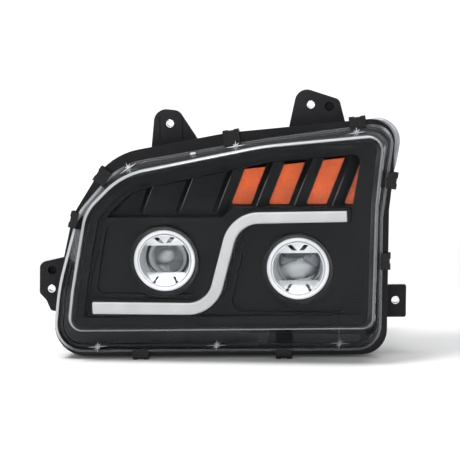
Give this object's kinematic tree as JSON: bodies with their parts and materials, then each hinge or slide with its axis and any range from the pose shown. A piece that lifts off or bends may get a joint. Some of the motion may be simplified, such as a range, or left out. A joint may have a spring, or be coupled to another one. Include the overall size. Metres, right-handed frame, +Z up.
{
  "type": "car headlight",
  "caption": "Black-trimmed headlight assembly with twin projector lamps, S-shaped daylight strip, slanted amber turn windows, clear domed lens and four mounting ears.",
  "frame": {"origin": "middle of the lamp's footprint, on the surface that it stands on", "axes": "+X to the viewer's right across the lamp's length, +Y towards the back of the lamp, +Z up; the lens faces -Y"},
  "size_m": [0.5038, 0.2136, 0.3571],
  "materials": {
    "black_shell": "black moulded polypropylene, fine grain",
    "black_ear": "black glass-filled nylon, satin",
    "black_bezel": "dark satin moulding, very fine grain",
    "clear_lens": "clear polycarbonate with a glossy hard coat",
    "black_clip": "black spring clip",
    "butyl": "butyl sealing bead",
    "frosted_guide": "frosted white light guide with fine ribs",
    "amber": "amber textured plate",
    "white_tray": "white reflecting tray",
    "silvered": "vacuum-metallised reflector",
    "chrome_trim": "bright chromed trim",
    "halo": "bright moulded ring with fine teeth",
    "optic_glass": "clear moulded glass lens",
    "circuit": "solder-masked circuit board",
    "led": "phosphor LED",
    "zinc": "zinc-plated steel",
    "sleeve_steel": "plain steel sleeve",
    "cast_alloy": "die-cast aluminium",
    "fin_alloy": "extruded aluminium",
    "frame_plastic": "glass-filled nylon frame",
    "fan_black": "black fan moulding",
    "coil": "wound coil in a plastic case",
    "dark_steel": "blackened steel",
    "nylon": "natural nylon",
    "rubber_black": "black rubber",
    "connector": "black connector shell",
    "contact": "tin-brass contact pin"
  },
  "bodies": {
    "root": {"housing": "black_shell", "seal_bead": "butyl", "outer_lens": "clear_lens", "lens_clips": "black_clip", "outer_bezel": "black_bezel", "inner_bezel": "black_bezel", "bezel_screws": "dark_steel", "bracket_top_left": "black_ear", "bracket_top_right": "black_ear", "bracket_lower_left": "black_ear", "bracket_lower_right": "black_ear", "bracket_screws": "zinc", "mount_sleeves": "sleeve_steel", "drl_light_guide": "frosted_guide", "drl_reflector": "white_tray", "drl_board": "circuit", "drl_leds": "led", "turn_lens": "amber", "turn_reflector": "silvered", "turn_board": "circuit", "turn_leds": "led", "halo_ring_left": "halo", "halo_ring_right": "halo", "shroud_left": "chrome_trim", "shroud_right": "chrome_trim", "pivot_studs": "zinc", "adjuster_body": "nylon", "cap_gaskets": "butyl", "harness_socket": "connector", "harness_pins": "contact", "driver_module": "fin_alloy", "vent_caps": "rubber_black"},
    "projector_unit": {"aim_frame": "frame_plastic", "frame_screws": "zinc", "projector_housing_left": "cast_alloy", "projector_lens_left": "optic_glass", "reflector_left": "silvered", "led_board_left": "circuit", "heat_sink_left": "fin_alloy", "fan_frame_left": "fan_black", "projector_housing_right": "cast_alloy", "projector_lens_right": "optic_glass", "reflector_right": "silvered", "led_board_right": "circuit", "heat_sink_right": "fin_alloy", "fan_frame_right": "fan_black", "solenoid_right": "coil"},
    "ball_stud": {"ball_stud": "zinc"},
    "adjuster_knob": {"adjuster_knob": "nylon"},
    "shield": {"shield_right": "dark_steel"},
    "plunger": {"plunger_right": "zinc"},
    "fan_left": {"fan_rotor_left": "fan_black"},
    "fan_right": {"fan_rotor_right": "fan_black"},
    "cap_left": {"rear_cap_left": "rubber_black"},
    "cap_right": {"rear_cap_right": "rubber_black"}
  },
  "joints": [
    {"name": "aim_tilt", "type": "hinge", "parent": "root", "child": "projector_unit", "pos_m": [0.02, -0.0072, 0.132], "axis": [1, 0, 0], "range_deg": [-3, 3]},
    {"name": "ball_stud_slide", "type": "slide", "parent": "root", "child": "ball_stud", "axis": [0, 1, 0], "range_m": [-0.0043, 0.0043]},
    {"name": "adjuster_turn", "type": "hinge", "parent": "root", "child": "adjuster_knob", "pos_m": [0.022, 0.0508, 0.053], "axis": [0, 1, 0], "range_deg": [-380, 380]},
    {"name": "shield_flip", "type": "hinge", "parent": "projector_unit", "child": "shield", "pos_m": [0.111, -0.0112, 0.103], "axis": [1, 0, 0], "range_deg": [0, 25], "stiffness_Nm_per_rad": 0.02, "springref_deg": -17.19},
    {"name": "plunger_slide", "type": "slide", "parent": "projector_unit", "child": "plunger", "axis": [0, -1, 0], "range_m": [0, 0.002]},
    {"name": "fan_left_spin", "type": "hinge", "parent": "projector_unit", "child": "fan_left", "pos_m": [-0.068, 0.0688, 0.137], "axis": [0, 1, 0], "continuous": true},
    {"name": "fan_right_spin", "type": "hinge", "parent": "projector_unit", "child": "fan_right", "pos_m": [0.111, 0.0548, 0.127], "axis": [0, 1, 0], "continuous": true},
    {"name": "cap_left_twist", "type": "hinge", "parent": "root", "child": "cap_left", "pos_m": [-0.068, 0.0921, 0.137], "axis": [0, 1, 0], "range_deg": [0, 40]},
    {"name": "cap_right_twist", "type": "hinge", "parent": "root", "child": "cap_right", "pos_m": [0.111, 0.0921, 0.127], "axis": [0, 1, 0], "range_deg": [0, 40]}
  ],
  "couplings": [
    {"joint": "ball_stud_slide", "follows": "aim_tilt", "m_per_rad": 0.079},
    {"joint": "adjuster_turn", "follows": "aim_tilt", "ratio": 124.09},
    {"joint": "plunger_slide", "follows": "shield_flip", "m_per_rad": 0.0045}
  ]
}
